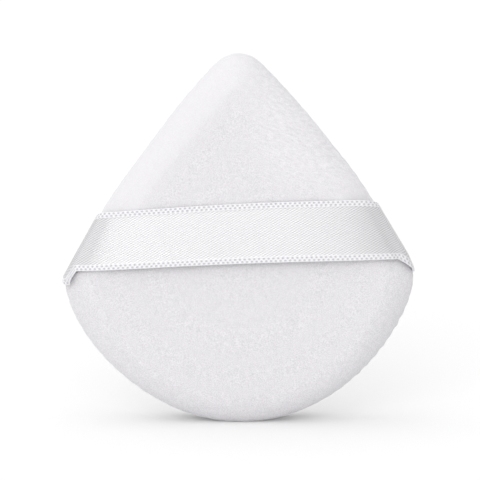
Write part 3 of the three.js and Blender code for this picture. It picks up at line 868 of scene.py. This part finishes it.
edged_colour = add_node(
    tree,
    "Mix",
    {"Factor": selvedge.outputs["Fac"], 6: line_colour.outputs["Color"], 7: linear("#e2e1e4")},
    data_type="RGBA",
)
# painted shade: the holes take a darker colour, for the shade that falls in them
shaded_hole = add_node(tree, "Attribute", attribute_name="shaded_hole")
satin_colour = add_node(
    tree,
    "Mix",
    {"Factor": shaded_hole.outputs["Fac"], 6: edged_colour.outputs[2], 7: linear("#b6b4b9")},
    data_type="RGBA",
)
weave_relief = add_node(
    tree, "Bump", {"Height": lines.outputs[0], "Strength": 0.35, "Distance": WEAVE_DEPTH}
)
gloss = add_node(tree, "MapRange", {"Value": selvedge.outputs["Fac"], "To Min": 1.0, "To Max": 0.25})
filament_way = add_node(tree, "Tangent", direction_type="UV_MAP", uv_map="weave")
satin_surface = add_node(
    tree,
    "BsdfPrincipled",
    {
        "Base Color": satin_colour.outputs[2],
        "Roughness": 0.43,
        "IOR": 2.2,
        "Specular IOR Level": gloss.outputs["Result"],
        "Anisotropic": 0.9,
        "Anisotropic Rotation": 0.25,
        "Tangent": filament_way.outputs["Tangent"],
        "Normal": weave_relief.outputs["Normal"],
    },
)
add_node(tree, "OutputMaterial", {"Surface": satin_surface.outputs["BSDF"]})

for name, side, tail in (
    ("strap_left_half", -1, "strap_left_tail"),
    ("strap_right_half", 1, "strap_right_tail"),
):
    ribbon, length = make_ribbon_half(name, side)
    ribbon.data.materials.append(satin)
    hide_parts("strap_ribbon", tail)
    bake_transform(ribbon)

# Floor, light and camera
# A plain white sweep. A softbox in front, a little to the left, gives the satin its gloss; a wide window on
# the left, wide panels overhead and behind, and pale light from all round fill in. Lengths are in metres.

FLOOR_HALF = 4.0
floor_mesh = bpy.data.meshes.new("floor")
floor_corners = FLOOR_HALF * np.array([(-1, -1, 0), (1, -1, 0), (1, 1, 0), (-1, 1, 0)])
floor_mesh.from_pydata(floor_corners, [], [(0, 1, 2, 3)])
floor = bpy.data.objects.new("floor", floor_mesh)
bpy.context.scene.collection.objects.link(floor)

WORLD_LIGHT = 0.61
LAMPS = (  # name, light, side and rise of where it stands, width, the last three in degrees
    ("front_softbox", 0.88, -11, 22, 46),
    ("left_window", 0.95, -45, 40, 120),
    ("overhead_panel", 0.20, 0, 55, 100),
    ("rear_panel", 0.67, 180, 55, 100),
)
FLOOR_GLOW = 0.125  # brings the lit floor up to white for the camera


def seen_directly(tree):
    """1 for rays from the camera and for reflections and refractions, and 0 for the light that falls on
    things."""
    ray = add_node(tree, "LightPath").outputs
    seen = add_node(
        tree, "Math", {0: ray["Is Camera Ray"], 1: ray["Is Glossy Ray"]}, operation="MAXIMUM"
    )
    return add_node(
        tree, "Math", {0: seen.outputs[0], 1: ray["Is Transmission Ray"]}, operation="MAXIMUM"
    ).outputs[0]


# Matt white sweep paper; the glow shows to the camera and in reflections, and lights nothing.
paper, tree = new_material("white_sweep_paper")
paper_glow = add_node(tree, "Math", {0: seen_directly(tree), 1: FLOOR_GLOW}, operation="MULTIPLY")
paper_surface = add_node(
    tree,
    "BsdfPrincipled",
    {
        "Base Color": linear("#e6e6e6"),
        "Roughness": 1.0,
        "Specular IOR Level": 0.0,
        "Emission Color": linear("#ffffff"),
        "Emission Strength": paper_glow.outputs[0],
    },
)
add_node(tree, "OutputMaterial", {"Surface": paper_surface.outputs["BSDF"]})
floor_mesh.materials.append(paper)

world = bpy.data.worlds.new("studio")
bpy.context.scene.world = world
world.use_nodes = True
tree = world.node_tree
tree.nodes.clear()
sky_strength = add_node(
    tree, "MapRange", {"Value": seen_directly(tree), "To Min": WORLD_LIGHT, "To Max": 1.0}
)
sky = add_node(tree, "Background", {"Color": linear("#ffffff"), "Strength": sky_strength.outputs["Result"]})
add_node(tree, "OutputWorld", {"Surface": sky.outputs["Background"]})

for name, light, *stand in LAMPS:
    side, rise, width = (math.radians(angle) for angle in stand)
    lamp_data = bpy.data.lights.new(name, "SUN")
    lamp_data.energy = light
    lamp_data.angle = width
    lamp = bpy.data.objects.new(name, lamp_data)
    bpy.context.scene.collection.objects.link(lamp)
    lamp_way = (math.sin(side) * math.cos(rise), -math.cos(side) * math.cos(rise), math.sin(rise))
    lamp.rotation_mode = "QUATERNION"
    lamp.rotation_quaternion = Vector(lamp_way).to_track_quat("Z", "Y")

CAMERA_DISTANCE = 0.70
CAMERA_RISE = math.radians(10)
AIM_HEIGHT = 0.03462
PICTURE_WIDTH = 0.09120  # width of what the picture takes in at the puff
camera_data = bpy.data.cameras.new("camera")
camera_data.lens = camera_data.sensor_width * CAMERA_DISTANCE / PICTURE_WIDTH
camera_data.clip_start = 0.01
camera_data.clip_end = 100
camera = bpy.data.objects.new("camera", camera_data)
bpy.context.scene.collection.objects.link(camera)
camera_back = Vector((0, -math.cos(CAMERA_RISE), math.sin(CAMERA_RISE)))
camera.location = Vector((0, SEAM_Y * MM, AIM_HEIGHT)) + CAMERA_DISTANCE * camera_back
camera.rotation_mode = "QUATERNION"
camera.rotation_quaternion = camera_back.to_track_quat("Z", "Y")
bpy.context.scene.camera = camera
bpy.context.scene.view_settings.view_transform = "Standard"
